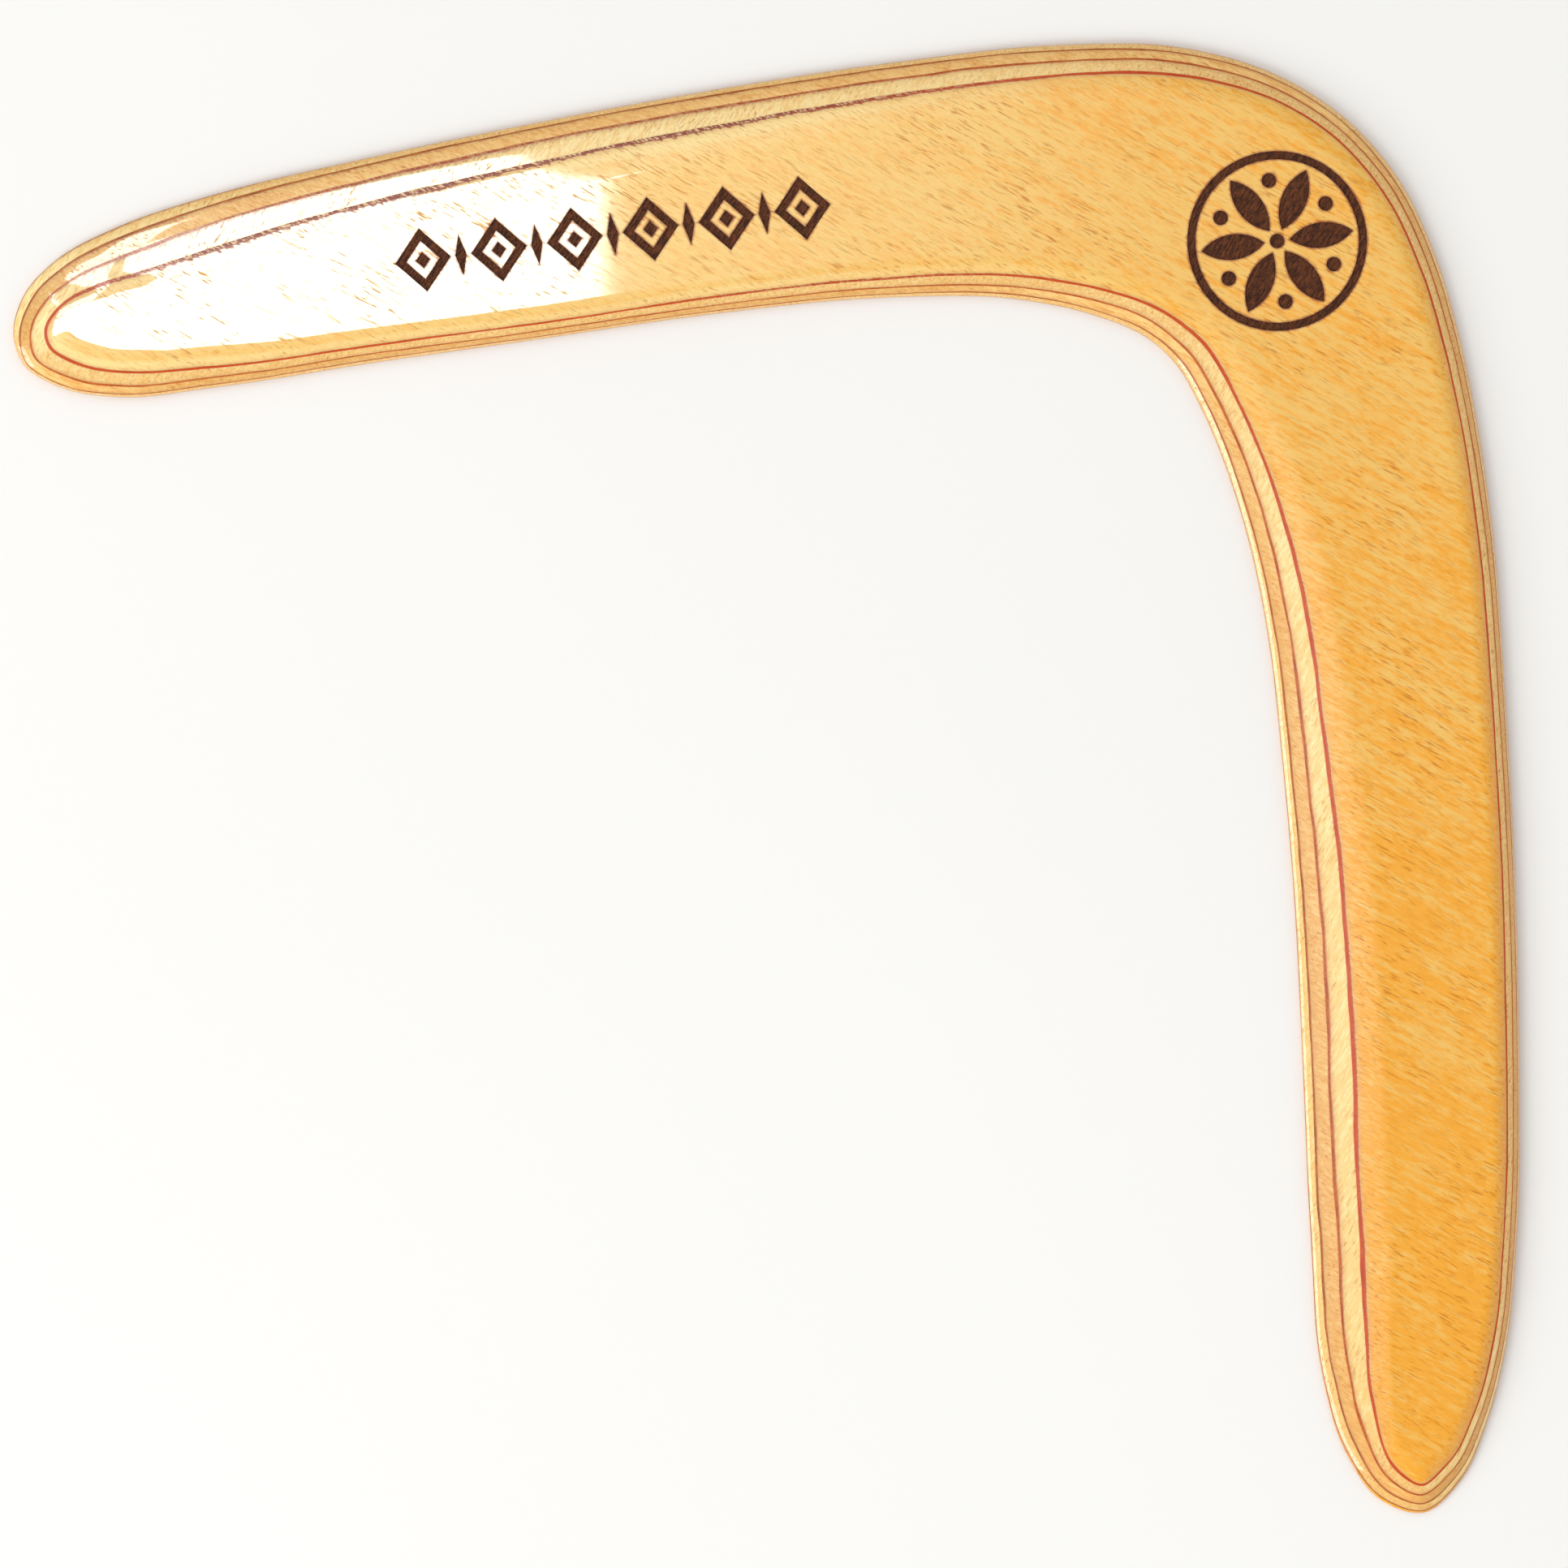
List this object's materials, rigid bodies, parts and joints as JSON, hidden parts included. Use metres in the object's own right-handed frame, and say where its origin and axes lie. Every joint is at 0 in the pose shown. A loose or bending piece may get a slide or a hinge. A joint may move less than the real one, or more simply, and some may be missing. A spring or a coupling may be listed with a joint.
{
  "type": "returning boomerang",
  "caption": "Right-handed two-armed returning boomerang of bevelled, engraved and lacquered plywood, flat underneath and shaped on its upper face.",
  "frame": {"origin": "middle of the outline's box, at the height of the flat underside", "axes": "+Z out of the shaped upper face; the lift arm runs towards -X from the elbow and the dingle arm towards -Y, so the elbow is at +X +Y"},
  "size_m": [0.26, 0.2536, 0.005],
  "materials": {
    "face_wood": "amber birch veneer under clear gloss lacquer, with dark pore flecks along the grain",
    "core_wood": "amber veneer under clear gloss lacquer",
    "pale_wood": "pale cross-grain veneer under clear gloss lacquer",
    "glue": "thin red-brown resin glue film"
  },
  "bodies": {
    "root": {"face_veneer": "face_wood", "face_glue_film": "glue", "upper_crossband": "pale_wood", "upper_glue_film": "glue", "core_veneer": "core_wood", "lower_glue_film": "glue", "lower_crossband": "pale_wood", "back_glue_film": "glue", "back_veneer": "face_wood"}
  },
  "joints": []
}
